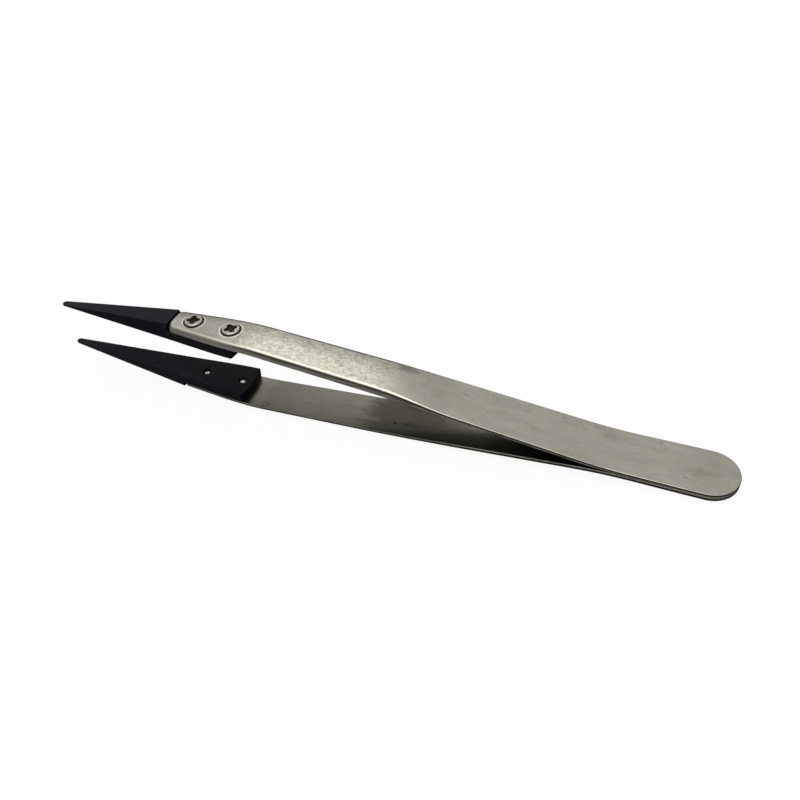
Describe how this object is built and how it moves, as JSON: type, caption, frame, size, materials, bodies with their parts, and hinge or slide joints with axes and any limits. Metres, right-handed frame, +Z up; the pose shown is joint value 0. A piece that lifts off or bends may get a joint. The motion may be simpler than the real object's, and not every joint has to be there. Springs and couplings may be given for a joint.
{
  "type": "tweezers",
  "caption": "Anti-static tweezers: two steel spring arms welded at a rounded heel, with long tapered black plastic tips screwed on in front.",
  "frame": {"origin": "on the ground, midway between the heel's end and the tips' ends, on the tool's middle line", "axes": "+X towards the heel, +Y across the arms, +Z up from the lower arm to the upper arm"},
  "size_m": [0.13, 0.0098, 0.0176],
  "materials": {
    "arm_steel": "satin stainless steel, brushed along its length",
    "tip_plastic": "satin black conductive plastic, moulded",
    "screw_steel": "nickel-plated"
  },
  "bodies": {
    "lower_half": {"lower_arm": "arm_steel", "lower_tip": "tip_plastic", "lower_front_screw": "screw_steel", "lower_rear_screw": "screw_steel"},
    "upper_half": {"upper_arm": "arm_steel", "upper_tip": "tip_plastic", "upper_front_screw": "screw_steel", "upper_rear_screw": "screw_steel"}
  },
  "joints": [
    {"name": "squeeze", "type": "hinge", "parent": "lower_half", "child": "upper_half", "pos_m": [0.04502, 0, 0.00241], "axis": [0, -1, 0], "range_deg": [0, 4.77], "stiffness_Nm_per_rad": 1.5}
  ]
}
